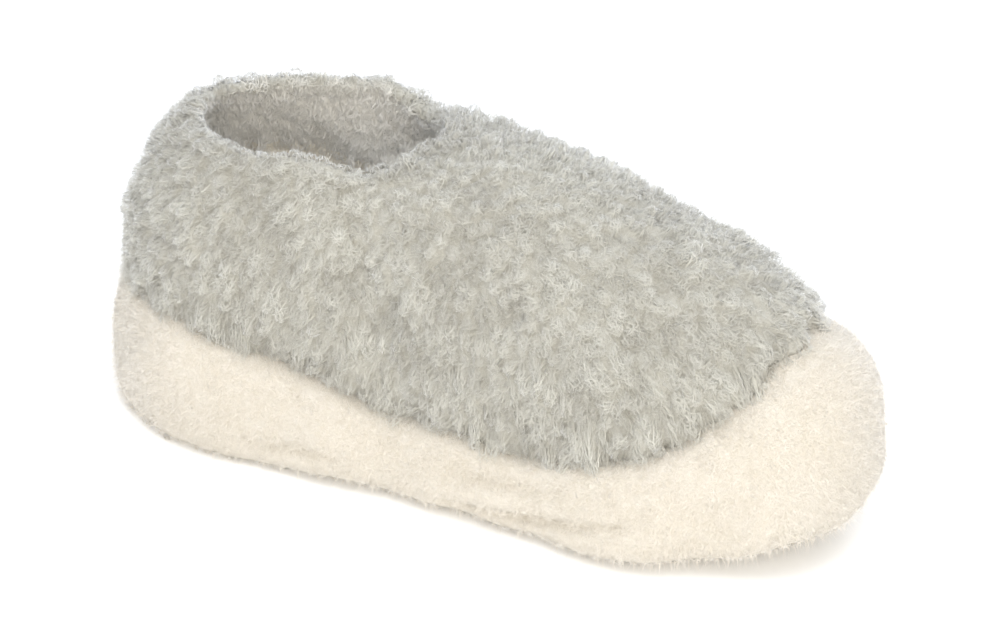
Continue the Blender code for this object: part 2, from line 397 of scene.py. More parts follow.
    def upper_outside(self, rises: Array) -> Array:
        """The upper's outside, swollen over the seam and drawn in along the side seams.

        Args:
            rises: shares of the way up, one for each ring.

        Returns:
            Points by ring and column.
        """
        rises = np.asarray(rises, float)
        rise = rises[:, None]
        puff = self.column("puff") * (1 - np.exp(-rise / self.puff_reach)) * np.sqrt(1 - rise)
        trough = np.exp(-(((self.along - self.side_seam_along) / self.side_seam_spread) ** 2))
        drawn_in = np.clip(np.sin(math.pi * np.sqrt(rise)), 0, 1) ** 0.5
        swell = puff - self.side_seam_depth * trough * drawn_in
        return self.wall(rises) + self.wall_normals(rises) * swell[:, :, None]

    def upper_inside(self, rises: Array) -> Array:
        """The upper's inside, where the wall thins towards the collar's fold.

        Args:
            rises: shares of the way up, one for each ring.

        Returns:
            Points by ring and column.
        """
        rises = np.asarray(rises, float)
        thick = self.upper_wall + (self.rim_wall - self.upper_wall) * rises**2
        return self.wall(rises) - self.wall_normals(rises) * thick[:, None, None]

    def rim_roll(self, steps: int) -> Array:
        """The collar's rolled rim, from outside to inside.

        Args:
            steps: how many rings go over it.

        Returns:
            Points by ring and column.
        """
        top = np.array([1.0])
        outside, inside = self.upper_outside(top)[0], self.upper_inside(top)[0]
        normal = self.wall_normals(top)[0]
        onward = self.wall(top)[0] - self.wall(top - self.normal_chord)[0]
        onward = unit(onward - normal * np.sum(onward * normal, axis=1, keepdims=True))
        angle = (math.pi * np.arange(1, steps + 1) / (steps + 1))[:, None, None]
        around = np.cos(angle) * normal + np.sin(angle) * onward
        return (outside + inside) / 2 + self.rim_wall / 2 * around

    def flat(self, edge: Array, shares: Array) -> Array:
        """Rings that close in from an edge ring towards the line down its middle.

        Args:
            edge: the edge ring's points.
            shares: of the way in, one for each ring.

        Returns:
            Points by ring and column.
        """
        opposite = np.roll(edge[::-1], 1, axis=0)
        middle = (edge + opposite) / 2
        share = np.asarray(shares, float)[:, None, None]
        return edge * (1 - share) + middle * share


@dataclass
class Skin:
    """A stack of closed rings of fleece cloth, and how its pile is combed."""

    points: Array  # by ring and column
    nap: Array  # by ring: 1 combed on along the stack, -1 back along it, 0 standing
    normals: Array = field(init=False)
    combed: Array = field(init=False)  # nap as directions in space
    crest: Array = field(init=False)  # 0 between locks, 1 in the middle of one; the cloth's finish paints shade by it
    swell: Array = field(init=False)  # how far the cloth stands out here; the locks on it take painted shade from it

    def __post_init__(self) -> None:
        """Takes the normals and the combing from the rings."""
        run = np.roll(self.points, -1, axis=1) - np.roll(self.points, 1, axis=1)
        climb = np.gradient(self.points, axis=0)
        self.normals = unit(np.cross(run, climb))
        self.combed = unit(climb) * self.nap[:, None, None]
        self.crest = np.full(self.points.shape[:2], 0.5)
        self.swell = np.zeros(self.points.shape[:2])

    def sink(self, depths: Array, swell: Array | float = 0.0) -> None:
        """Moves every ring inwards, to leave room for the pile, and lets the cloth swell unevenly.

        Args:
            depths: how far, by ring.
            swell: how far the cloth stands out again, by ring and column.
        """
        self.swell = self.swell + swell
        self.points = self.points + self.normals * (self.swell - depths[:, None])[:, :, None]

    def lump(self, locks: "Locks", heights: Array) -> None:
        """Raises the cloth under each lock, and keeps where the locks stand, so that the finish paints
        shade between them.

        Args:
            locks: the locks that grow on this skin.
            heights: of the lumps, by ring.
        """
        tree = KDTree(len(locks.feet))
        for number, foot in enumerate(locks.feet):
            tree.insert(foot, number)
        tree.balance()
        for row in range(len(self.points)):
            for column, point in enumerate(self.points[row]):
                (_, _, near), (_, _, far) = tree.find_n(point, 2)
                edge = (near + far) / 2
                self.crest[row, column] = max(0.0, 1 - (near / edge) ** 2)
        self.points = self.points + self.normals * (self.crest * heights[:, None])[:, :, None]

    def write(
        self, name: str, closed: bool, materials: list[bpy.types.Material], dress: Array
    ) -> bpy.types.Object:
        """Writes the skin as one mesh.

        Args:
            name: of the piece.
            closed: whether the last ring joins the first; otherwise both ends are filled.
            materials: of the piece.
            dress: which material each ring's faces take.

        Returns:
            The piece.
        """
        rows, columns = self.points.shape[:2]
        strips = rows if closed else rows - 1
        row, column = np.meshgrid(np.arange(strips), np.arange(columns), indexing="ij")
        row, column = row.ravel(), column.ravel()
        on = (column + 1) % columns
        here, above = row * columns, (row + 1) % rows * columns
        corners = np.stack((here + column, here + on, above + on, above + column), 1)
        u, v = column / columns, (row + 1) / (rows + 1)
        across, high = 1 / columns, 1 / (rows + 1)
        uv = np.stack((u, v, u + across, v, u + across, v + high, u, v + high), 1).reshape(-1, 4, 2)
        faces_dress = dress[row]
        if not closed:
            ends = [self.end_strip(0, 0.0, high / 2, True), self.end_strip(rows - 1, high / 2, high, False)]
            corners = np.concatenate([corners, *(strip for strip, _ in ends)])
            uv = np.concatenate([uv, *(chart for _, chart in ends)])
            ends_dress = np.repeat([dress[0], dress[-1]], [len(strip) for strip, _ in ends])
            faces_dress = np.concatenate((faces_dress, ends_dress))
        points, sizes = self.points.reshape(-1, 3), np.full(len(corners), 4)
        values = {"crest": self.crest.ravel()}
        piece = write_mesh(name, points, corners.ravel(), sizes, uv.reshape(-1, 2), values)
        for material in materials:
            piece.data.materials.append(material)
        piece.data.polygons.foreach_set("material_index", faces_dress.astype(np.int32))
        return piece

    def end_strip(self, row: int, low: float, high: float, under: bool) -> tuple[Array, Array]:
        """Faces across the slit that an end ring leaves down its middle.

        Args:
            row: the end ring.
            low: where the strip starts on the bake map.
            high: where it ends there.
            under: whether its faces look down.

        Returns:
            The faces' corners and their places on the bake map.
        """
        columns = self.points.shape[1]
        near = np.arange(columns // 2)
        far = near + 1
        corners = np.stack((near, far, (-far) % columns, (-near) % columns), 1) + row * columns
        corners = corners[1:-1, ::-1] if under else corners[1:-1]
        left = near[1:-1] / columns
        right = left + 1 / columns
        bottom, top = np.full(len(left), low), np.full(len(left), high)
        chart = np.stack((left, bottom, right, bottom, right, top, left, top), 1)
        return corners, chart.reshape(-1, 4, 2)


@dataclass(frozen=True)
class PileCut:
    """How a fleece's pile curls over into soft round locks."""

    spacing: float  # least distance between two locks
    half_breadth: float  # of a lock
    height: float  # of a lock above the cloth
    fall: float  # how far a lock's top hangs over along the nap
    unruly: float  # scatter of the locks about the nap, in radians
    frizz: float  # scatter of the strands about their lock, in radians
    curl: float  # how far a strand bends along its length, in radians
    loft: float  # how far a strand stands off its lock
    strands: int  # drawn in each lock
    strand_length: float
    strand_breadth: float  # real wool is 0.03, drawn coarser so that it shows
    wisps: int  # curls of each lock that stand out of it
    wisp_length: float
    wisp_breadth: float
    wisp_rise: float
    hairs: int  # single fibres of each lock that stand out into the air
    hair_length: float
    hair_breadth: float


@dataclass(frozen=True)
class Scatter:
    """How much locks, strands and fibres differ from each other. A pair is a range of shares."""

    stray: float = 0.05  # which way a lock lies where it isn't combed
    lock_height: tuple[float, float] = (0.7, 1.2)
    tuft_height: float = 0.25  # how much higher neighbouring locks stand together
    lock_breadth: tuple[float, float] = (0.85, 1.2)
    strand_length: tuple[float, float] = (0.6, 1.2)
    strand_breadth: tuple[float, float] = (0.7, 1.2)
    strand_tone: float = 0.25  # share of a strand's tone that isn't its lock's
    tip_loft: tuple[float, float] = (-0.6, 1.0)
    wisp_turn: float = 2.0  # of the wisps about their lock, in radians
    wisp_rise: tuple[float, float] = (0.2, 1.0)
    hair_root: tuple[float, float] = (0.5, 1.0)  # of the lock's height
    hair_stand: tuple[float, float] = (0.3, 1.3)  # how upright a fibre stands
    hair_length: tuple[float, float] = (0.3, 1.0)
    hair_tone: float = 0.2


@dataclass(frozen=True)
class Lay:
    """How strands and fibres lie, the same in every pile."""

    least_comb: float = 0.2  # strength of the nap where the locks stand free
    bend_share: float = 2.8  # divides the bends of lock and strand, so that both make one curl
    root_depth: float = 0.3  # of a strand's root in its lock
    wisp_middle: float = 0.5  # how far a wisp has risen at its middle
    dome_reach: float = 1.3  # a lock's dome meets the cloth this far out, in half breadths
    dome_shade: float = 0.5  # how much of the dome's slope the strands are shaded with
    own_face: float = 0.75  # how far a strand is shaded by its own face and not by its lock
    roundness: float = 0.3  # of a strand's shading from edge to edge
    hair_aside: float = 0.7
    hair_combed: float = 0.3
    hair_taper: float = 1.5  # more than 1 makes short fibres more common
    hair_lock_tone: float = 0.7  # share of the lock's tone
    hair_lighter: float = 0.1
    hair_reach: tuple[float, float] = (0.7, 0.98)  # at root and tip, which sets how much of the pile's painted shade they take


SCATTER = Scatter()
LAY = Lay()


@dataclass
class Locks:
    """Locks of wool, each with its foot on a skin."""

    feet: Array
    normals: Array
    combed: Array
    tones: Array

    @classmethod
    def sow(cls, skin: Skin, rows: slice, spacing: float, seed: int) -> "Locks":
        """Sows locks evenly over some rings of a skin.

        Args:
            skin: what they grow on.
            rows: which rings.
            spacing: least distance between two locks.
            seed: of the random places.

        Returns:
            The locks.
        """
        rng = np.random.default_rng(seed)
        points, normals, combed = skin.points[rows], skin.normals[rows], skin.combed[rows]
        on = np.roll(points, -1, axis=1)
        area = np.linalg.norm(np.cross(on[:-1] - points[:-1], points[1:] - points[:-1]), axis=2)
        tries = int(area.sum() / spacing**2 * TRIES)
        cells = rng.choice(area.size, tries, p=(area / area.sum()).ravel())
        row, column = np.divmod(cells, area.shape[1])
        after = (column + 1) % area.shape[1]
        u, v = rng.random((2, tries, 1))

        def between(grid: Array) -> Array:
            """Values at the tried places.

            Args:
                grid: values by ring and column.

            Returns:
                One value for each place.
            """
            low = grid[row, column] * (1 - u) + grid[row, after] * u
            high = grid[row + 1, column] * (1 - u) + grid[row + 1, after] * u
            return low * (1 - v) + high * v

        feet = between(points)
        kept = thin_out(feet, spacing)
        swell = between(skin.swell[rows][:, :, None])[kept, 0]
        tones = rng.normal(LOCK_TONE, LOCK_TONE_SCATTER, len(kept))
        tones = tones + PATCH_TONE * wander(feet[kept], PATCH, seed)
        # Painted shade: locks in the cloth's hollows and creases come out darker, those on its swells
        # lighter.
        tones = np.clip(tones + SWELL_PAINTED_SHADE * swell, *LOCK_TONE_RANGE)
        return cls(feet[kept], unit(between(normals)[kept]), between(combed)[kept], tones)

    @classmethod
    def gathered(cls, groups: list["Locks"]) -> "Locks":
        """Several groups of locks as one."""
        names = [entry.name for entry in fields(cls)]
        return cls(*(np.concatenate([getattr(group, name) for group in groups]) for name in names))

    def part(self, chosen: Array) -> "Locks":
        """The locks that a row of yes and no chooses."""
        return Locks(self.feet[chosen], self.normals[chosen], self.combed[chosen], self.tones[chosen])

    def comb(self, name: str, cut: PileCut, material: bpy.types.Material, seed: int) -> bpy.types.Object:
        """Draws the wool of the locks as one mesh of thin tapering ribbons.

        Args:
            name: of the piece.
            cut: how the pile stands.
            material: of the wool.
            seed: of the random strands.

        Returns:
            The piece.
        """
        rng = np.random.default_rng(seed)
        thrift = 1
        curls = self.curls(cut, thrift, seed, rng)
        return curls.joined(self.fuzz(cut, thrift, rng)).write(name, material)

    def curls(self, cut: PileCut, thrift: int, seed: int, rng: np.random.Generator) -> "Ribbons":
        """Curled strands that lie over the dome of each lock, and wisps that stand out of it.

        Args:
            cut: how the pile stands.
            thrift: draws one of so many strands.
            seed: of the patches of locks that lie alike.
            rng: of the random strands.

        Returns:
            Their ribbons.
        """
        strands, wisps = max(LEAST_STRANDS, cut.strands // thrift), cut.wisps // thrift
        is_wisp = np.arange(strands + wisps) >= strands
        each, every = (len(self.feet), 1), (len(self.feet), strands + wisps)
        loose = unit(self.combed + unit(rng.normal(size=self.combed.shape)) * SCATTER.stray)
        across = unit(np.cross(self.normals, loose))
        along = np.cross(across, self.normals)

        tuft = wander(self.feet, CLUSTER, seed)[:, None]
        high = cut.height * (rng.uniform(*SCATTER.lock_height, each) + SCATTER.tuft_height * tuft)
        wide = cut.half_breadth * rng.uniform(*SCATTER.lock_breadth, each)
        firm = np.maximum(np.linalg.norm(self.combed, axis=1)[:, None], LAY.least_comb)
        swirl = wander(self.feet, CLUSTER, seed + 1)[:, None] * cut.unruly
        heading = swirl + rng.normal(0, cut.unruly, each) / firm
        heading = heading + rng.normal(0, 1, every) * np.where(is_wisp, SCATTER.wisp_turn, cut.frizz)
        bend = (rng.normal(0, cut.curl, each) + rng.normal(0, cut.curl, every)) / LAY.bend_share
        step = np.where(is_wisp, cut.wisp_length, cut.strand_length) / 2
        step = step * rng.uniform(*SCATTER.strand_length, every)
        out = wide * np.sqrt(rng.random(every))
        spin = rng.uniform(0, 2 * math.pi, every)
        rise = is_wisp * cut.wisp_rise * rng.uniform(*SCATTER.wisp_rise, every)

        u, v = out * np.cos(spin), out * np.sin(spin)
        before, after = heading - bend, heading + bend
        places = [
            (u - step * np.cos(before), v - step * np.sin(before)),
            (u, v),
            (u + step * np.cos(after), v + step * np.sin(after)),
        ]
        lifts = [
            np.full(every, -LAY.root_depth),
            cut.loft * rng.random(every) + rise * LAY.wisp_middle,
            cut.loft * rng.uniform(*SCATTER.tip_loft, every) + rise,
        ]
        steep = LAY.dome_shade * cut.height / cut.half_breadth
        joints, lights, heights = [], [], []
        for (u, v), lift in zip(places, lifts):
            dome = high * np.sqrt(np.clip(1 - (u**2 + v**2) / (LAY.dome_reach * wide) ** 2, 0, 1))
            up = dome + lift
            hang = u * np.maximum(firm, 1) + cut.fall * firm * np.clip(up / cut.height, 0, 1)
            spread = along[:, None, :] * hang[:, :, None] + across[:, None, :] * v[:, :, None]
            joint = self.feet[:, None, :] + spread + self.normals[:, None, :] * up[:, :, None]
            joint[:, :, 2] = np.maximum(joint[:, :, 2], FLOOR_CLEARANCE)
            joints.append(joint.reshape(-1, 3))
            tilt = along[:, None, :] * (u / wide)[:, :, None] + across[:, None, :] * (v / wide)[:, :, None]
            lights.append(unit(self.normals[:, None, :] + steep * tilt).reshape(-1, 3))
            heights.append(np.clip(up / (cut.height + cut.loft), *CHART_REACH).ravel())

        own = SCATTER.strand_tone
        tone = np.clip(self.tones[:, None] * (1 - own) + rng.random(every) * own, *CHART_TONES)
        breadth = np.where(is_wisp, cut.wisp_breadth, cut.strand_breadth)
        breadth = breadth * rng.uniform(*SCATTER.strand_breadth, every) * thrift**0.5
        return Ribbons.curled(joints, lights, heights, breadth.reshape(-1, 1), tone.ravel())

    def fuzz(self, cut: PileCut, thrift: int, rng: np.random.Generator) -> "Ribbons":
        """Single fibres that stand out of the locks and soften the outline.

        Args:
            cut: how the pile stands.
            thrift: draws one of so many fibres.
            rng: of the random fibres.

        Returns:
            Their ribbons.
        """
        lock = np.repeat(np.arange(len(self.feet)), cut.hairs // thrift)
        each = (len(lock), 1)
        normal, combed = self.normals[lock], unit(self.combed[lock])
        aside = unit(rng.normal(size=normal.shape))
        aside -= normal * np.sum(aside * normal, axis=1, keepdims=True)
        shift = unit(np.cross(normal, aside)) * cut.half_breadth * np.sqrt(rng.random(each))
        root = self.feet[lock] + shift + normal * cut.height * rng.uniform(*SCATTER.hair_root, each)
        upright = normal * rng.uniform(*SCATTER.hair_stand, each)
        way = unit(upright + aside * LAY.hair_aside + combed * LAY.hair_combed)
        tip = root + way * cut.hair_length * rng.uniform(*SCATTER.hair_length, each) ** LAY.hair_taper
        for joint in (root, tip):
            joint[:, 2] = np.maximum(joint[:, 2], FLOOR_CLEARANCE)
        breadth = cut.hair_breadth * thrift**0.5 * rng.uniform(*SCATTER.strand_breadth, each)
        tone = self.tones[lock] * LAY.hair_lock_tone + LAY.hair_lighter
        tone = np.clip(tone + rng.random(len(lock)) * SCATTER.hair_tone, *CHART_TONES)
        return Ribbons.straight(root, tip, normal, breadth, tone)


def thin_out(places: Array, spacing: float) -> Array:
    """Drops places until none lies closer to another than the spacing.

    Args:
        places: random places, of which the first ones stay.
        spacing: least distance between two of them.

    Returns:
        The numbers of those that stay.
    """
    tree = KDTree(len(places))
    for number, place in enumerate(places):
        tree.insert(place, number)
    tree.balance()
    dropped = np.zeros(len(places), bool)
    kept = []
    for number, place in enumerate(places):
        if dropped[number]:
            continue
        kept.append(number)
        for _, neighbour, _ in tree.find_range(place, spacing):
            dropped[neighbour] = True
    return np.array(kept)


def write_mesh(
    name: str, points: Array, corners: Array, sizes: Array, uv: Array, values: dict[str, Array]
) -> bpy.types.Object:
    """Writes a smooth mesh from arrays.

    Args:
        name: of the piece.
        points: in millimetres.
        corners: point numbers of all faces, one face after another.
        sizes: how many corners each face has.
        uv: a place on the bake map for each corner.
        values: named values by point, for the finish.

    Returns:
        The piece.
    """
    mesh = bpy.data.meshes.new(name)
    mesh.vertices.add(len(points))
    mesh.vertices.foreach_set("co", (points * MM).astype(np.float32).ravel())
    mesh.loops.add(len(corners))
    mesh.loops.foreach_set("vertex_index", corners.astype(np.int32))
    mesh.polygons.add(len(sizes))
    mesh.polygons.foreach_set("loop_start", np.concatenate(([0], np.cumsum(sizes)[:-1])).astype(np.int32))
    mesh.polygons.foreach_set("use_smooth", np.ones(len(sizes), bool))
    mesh.update(calc_edges=True)
    for key, value in values.items():
        mesh.attributes.new(key, "FLOAT", "POINT").data.foreach_set("value", value.astype(np.float32))
    mesh.uv_layers.new(name=BAKE_MAP).data.foreach_set("uv", uv.astype(np.float32).ravel())
    piece = bpy.data.objects.new(name, mesh)
    bpy.context.scene.collection.objects.link(piece)
    return piece


@dataclass
class Ribbons:
    """Thin ribbons of wool that lie open to the outside and taper to a point."""

    points: Array
    facing: Array  # the direction that each point is shaded as
    corners: Array
    sizes: Array
    uv: Array
    tone: Array  # 0 dark to 1 light
    reach: Array  # 0 at the cloth to 1 at the top of the pile; the finish paints shade low down by it

    @classmethod
    def curled(
        cls, joints: list[Array], lights: list[Array], heights: list[Array], breadth: Array, tone: Array
    ) -> "Ribbons":
        """Strands with a bend in the middle.

        Args:
            joints: root, middle and tip of each strand.
            lights: the directions that these face, as the lock under them does.
            heights: of these in the pile, 0 at the cloth to 1 at the top.
            breadth: of each strand.
            tone: of each strand.

        Returns:
            Their ribbons.
        """
        root, middle, tip = joints
        first, whole = unit(middle - root), unit(tip - root)
        low_side, high_side = unit(np.cross(first, lights[1])), unit(np.cross(whole, lights[1]))
        low, high = low_side * breadth / 2, high_side * breadth / 2
        points = np.stack((root - low, root + low, middle - high, middle + high, tip), axis=1)

        face = unit(np.cross(high_side, whole))
        soft = [unit(light * (1 - LAY.own_face) + face * LAY.own_face) for light in lights]
        rounding = high_side * LAY.roundness
        edges = [unit(light + way * rounding) for light in soft[:2] for way in (-1, 1)]
        facing = np.stack((*edges, soft[2]), axis=1)

        corners = (np.arange(len(root)) * 5)[:, None] + np.array([0, 1, 3, 2, 2, 3, 4])
        left, right = -CHART_HALF, CHART_HALF
        u = tone[:, None] + np.array([left, right, right, left, left, right, 0.0])
        low_v, mid_v, tip_v = heights
        v = np.stack((low_v, low_v, mid_v, mid_v, mid_v, mid_v, tip_v), axis=1)
        reach = np.stack((low_v, low_v, mid_v, mid_v, tip_v), axis=1)
        return cls(
            points.reshape(-1, 3),
            facing.reshape(-1, 3),
            corners.ravel(),
            np.tile([4, 3], len(root)),
            np.stack((u, v), axis=2).reshape(-1, 2),
            np.repeat(tone, 5),
            reach.ravel(),
        )

    @classmethod
    def straight(cls, root: Array, tip: Array, light: Array, breadth: Array, tone: Array) -> "Ribbons":
        """Single fibres, each one long triangle.

        Args:
            root: of each fibre.
            tip: of each fibre.
            light: the direction that the cloth under it faces.
            breadth: of each fibre.
            tone: of each fibre.

        Returns:
            Their ribbons.
        """
        way = unit(tip - root)
        side = unit(np.cross(way, light))
        points = np.stack((root - side * breadth / 2, root + side * breadth / 2, tip), axis=1)
        facing = np.repeat(unit(np.cross(side, way)), 3, axis=0)
        u = tone[:, None] + np.array([-CHART_HALF, CHART_HALF, 0.0])
        root_reach, tip_reach = LAY.hair_reach
        v = np.broadcast_to(np.array([root_reach, root_reach, tip_reach]), u.shape)
        return cls(
            points.reshape(-1, 3),
            facing,
            np.arange(len(root) * 3),
            np.full(len(root), 3),
            np.stack((u, v), axis=2).reshape(-1, 2),
            np.repeat(tone, 3),
            v.ravel(),
        )

    def joined(self, more: "Ribbons") -> "Ribbons":
        """These ribbons and some more.

        Args:
            more: the ribbons that are added.

        Returns:
            All of them.
        """
        more = replace(more, corners=more.corners + len(self.points))
        names = [entry.name for entry in fields(self)]
        return Ribbons(*(np.concatenate((getattr(self, name), getattr(more, name))) for name in names))

    def write(self, name: str, material: bpy.types.Material) -> bpy.types.Object:
        """Writes the ribbons as one mesh.

        Args:
            name: of the piece.
            material: of the wool.

        Returns:
            The piece.
        """
        values = {"tone": self.tone, "reach": self.reach}
        piece = write_mesh(name, self.points, self.corners, self.sizes, self.uv, values)
        piece.data.normals_split_custom_set_from_vertices(self.facing.tolist())
        piece.data.materials.append(material)
        return piece


def linear(colour: str) -> tuple[float, float, float, float]:
    """An sRGB hex colour as the linear colour that Blender's sockets take."""
    parts = [int(colour[i : i + 2], 16) / 255 for i in (1, 3, 5)]
    return (*(p / 12.92 if p <= 0.04045 else ((p + 0.055) / 1.055) ** 2.4 for p in parts), 1.0)


def add_node(
    tree: bpy.types.NodeTree, kind: str, sockets: dict[str | int, object], **settings: object
) -> bpy.types.Node:
    """Adds a shader node.

    Args:
        tree: of the material.
        kind: Blender's name for this kind of node.
        sockets: for an input's name or number, its value or the output that is linked to it.
        settings: of the node itself.

    Returns:
        The node.
    """
    node = tree.nodes.new(kind)
    for key, value in settings.items():
        setattr(node, key, value)
    for key, value in sockets.items():
        if isinstance(value, bpy.types.NodeSocket):
            tree.links.new(value, node.inputs[key])
        else:
            node.inputs[key].default_value = value
    return node


class Fleece(Enum):
    """The undyed fleeces."""

    GREY = "grey"
    MID_GREY = "mid grey"  # painted light: paler on the inner half of the collar's fold, where it lies in shade
    PALE_GREY = "pale grey"  # painted light: paler, turned in at the collar, to stand in for light inside it
    CREAM = "cream"
    PALE_CREAM = "pale cream"  # of the lining and the insole, kept paler than the sole's cream as painted light inside the slipper


@dataclass(frozen=True)
class WoolShades:
    """Colours of one fleece, from its dark strands to its light ones; the root colours are painted shade
    for the depth of the pile.
    """

    root_dark: str
    root_light: str
    tip_dark: str
    tip_light: str


# The mid grey, pale grey and pale cream are paler as painted light for the collar's fold and the inside.
# The root colours are painted shade for the depth of the pile and for the cloth between locks.
SHADES = {
    Fleece.GREY: WoolShades("#938F83", "#AFACA0", "#B8B6AD", "#CDCCC3"),
    Fleece.MID_GREY: WoolShades("#BFBCB2", "#CFCCC3", "#D2D0C8", "#E0DED7"),
    Fleece.PALE_GREY: WoolShades("#EAE8E0", "#F1EFE8", "#F1EFE9", "#F7F6F2"),
    Fleece.CREAM: WoolShades("#C2BAA8", "#C8C0B0", "#E0D9CC", "#E5DFD5"),
    Fleece.PALE_CREAM: WoolShades("#EAE4D4", "#EFE9DB", "#F4EEDF", "#F9F4E9"),
}
MIX_A, MIX_B, MIX_COLOUR = 6, 7, 2  # the colour inputs and output of Blender's Mix node


@dataclass(frozen=True)
class WoolPile:
    """Carded wool pile: matt crimped strands, with painted shade that darkens them deep down, and a soft
    bloom along the outline.
    """

    fleece: Fleece
    roughness: float = 0.9
    ior: float = 1.55  # keratin
    sheen: float = 1.0
    sheen_roughness: float = 0.5

    def material(self) -> bpy.types.Material:
        """The finish of the strands, which reads each strand's tone and how far up it is.

        Returns:
            The material.
        """
        shades = SHADES[self.fleece]
        made = bpy.data.materials.new(f"carded {self.fleece.value} wool pile")
        made.use_nodes = True
        tree = made.node_tree
        tone = add_node(tree, "ShaderNodeAttribute", {}, attribute_name="tone").outputs["Fac"]
        reach = add_node(tree, "ShaderNodeAttribute", {}, attribute_name="reach").outputs["Fac"]
        # Painted shade: each strand runs from the darker root colour low in the pile to its tip colour.
        dark = {0: reach, MIX_A: linear(shades.root_dark), MIX_B: linear(shades.tip_dark)}
        light = {0: reach, MIX_A: linear(shades.root_light), MIX_B: linear(shades.tip_light)}
        dark_out = add_node(tree, "ShaderNodeMix", dark, data_type="RGBA").outputs[MIX_COLOUR]
        light_out = add_node(tree, "ShaderNodeMix", light, data_type="RGBA").outputs[MIX_COLOUR]
        both = {0: tone, MIX_A: dark_out, MIX_B: light_out}
        both_out = add_node(tree, "ShaderNodeMix", both, data_type="RGBA").outputs[MIX_COLOUR]
        shader = tree.nodes["Principled BSDF"].inputs
        tree.links.new(both_out, shader["Base Color"])
        shader["Roughness"].default_value = self.roughness
        shader["IOR"].default_value = self.ior
        shader["Sheen Weight"].default_value = self.sheen
        shader["Sheen Roughness"].default_value = self.sheen_roughness
        return made


@dataclass(frozen=True)
class FleeceCloth:
    """Knitted fleece backing: matt wool cloth between the locks, with painted shade, darkest where no lock
    stands.
    """

    fleece: Fleece
    crimp: float = 0.9  # mm, from one crimp of the wool to the next
    crimp_detail: float = 4.0
    crimp_contrast: float = 0.65
    tangle: float = 1.5  # how far the crimps are drawn into curls
    roughness: float = 0.95
    ior: float = 1.55
    sheen: float = 0.2

    def material(self) -> bpy.types.Material:
        """The finish of the cloth, which reads where the locks stand on it and paints shade between them.

        Returns:
            The material.
        """
        shades = SHADES[self.fleece]
        made = bpy.data.materials.new(f"knitted {self.fleece.value} wool backing")
        made.use_nodes = True
        tree = made.node_tree
        crest = add_node(tree, "ShaderNodeAttribute", {}, attribute_name="crest").outputs["Fac"]
        place = add_node(tree, "ShaderNodeTexCoord", {}).outputs["Object"]
        grain = {
            "Vector": place,
            "Scale": 1 / (self.crimp * MM),
            "Detail": self.crimp_detail,
            "Roughness": self.crimp_contrast,
            "Distortion": self.tangle,
        }
        noise = add_node(tree, "ShaderNodeTexNoise", grain).outputs["Fac"]
        # Painted shade: the cloth runs from the darker shaded root colour between locks to the lighter one
        # under them.
        ground = {0: crest, MIX_A: linear(shades.root_dark), MIX_B: linear(shades.root_light)}
        ground_out = add_node(tree, "ShaderNodeMix", ground, data_type="RGBA").outputs[MIX_COLOUR]
        worn = {0: noise, MIX_A: ground_out, MIX_B: linear(shades.tip_light)}
        worn_out = add_node(tree, "ShaderNodeMix", worn, data_type="RGBA").outputs[MIX_COLOUR]
        relief = {"Height": noise, "Strength": 1.0, "Distance": self.crimp * MM}
        relief_out = add_node(tree, "ShaderNodeBump", relief).outputs["Normal"]
        shader = tree.nodes["Principled BSDF"].inputs
        tree.links.new(worn_out, shader["Base Color"])
        tree.links.new(relief_out, shader["Normal"])
        shader["Roughness"].default_value = self.roughness
        shader["IOR"].default_value = self.ior
        shader["Sheen Weight"].default_value = self.sheen
        return made


@dataclass(frozen=True)
class PaperSweep:
    """Matt white background paper: even and pale, with no gloss."""

    colour: str = "#FBFBFA"
    roughness: float = 0.9
    specular: float = 0.2

    def material(self) -> bpy.types.Material:
        """The finish of the floor.

        Returns:
            The material.
        """
        made = bpy.data.materials.new("matt coated paper")
        made.use_nodes = True
        shader = made.node_tree.nodes["Principled BSDF"].inputs
        shader["Base Color"].default_value = linear(self.colour)
        shader["Roughness"].default_value = self.roughness
        shader["Specular IOR Level"].default_value = self.specular
        return made


@dataclass
class Wardrobe:
    """The finishes that the pieces share."""

    pile: dict[Fleece, bpy.types.Material] = field(init=False)
    cloth: dict[Fleece, bpy.types.Material] = field(init=False)

    def __post_init__(self) -> None:
        """Makes each finish once."""
        self.pile = {fleece: WoolPile(fleece).material() for fleece in Fleece}
        self.cloth = {fleece: FleeceCloth(fleece).material() for fleece in Fleece}


def place(piece: bpy.types.Object, node: str, slot: str) -> bpy.types.Object:
    """Fastens a piece to the frame.

    Args:
        piece: what was built.
        node: the solid that it stands for.
        slot: not used.

    Returns:
        The same piece.
    """
    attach(piece, BODY)
    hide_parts(node)
    LOG.info("%s: %d faces, stands for %s", piece.name, len(piece.data.polygons), node)
    return piece


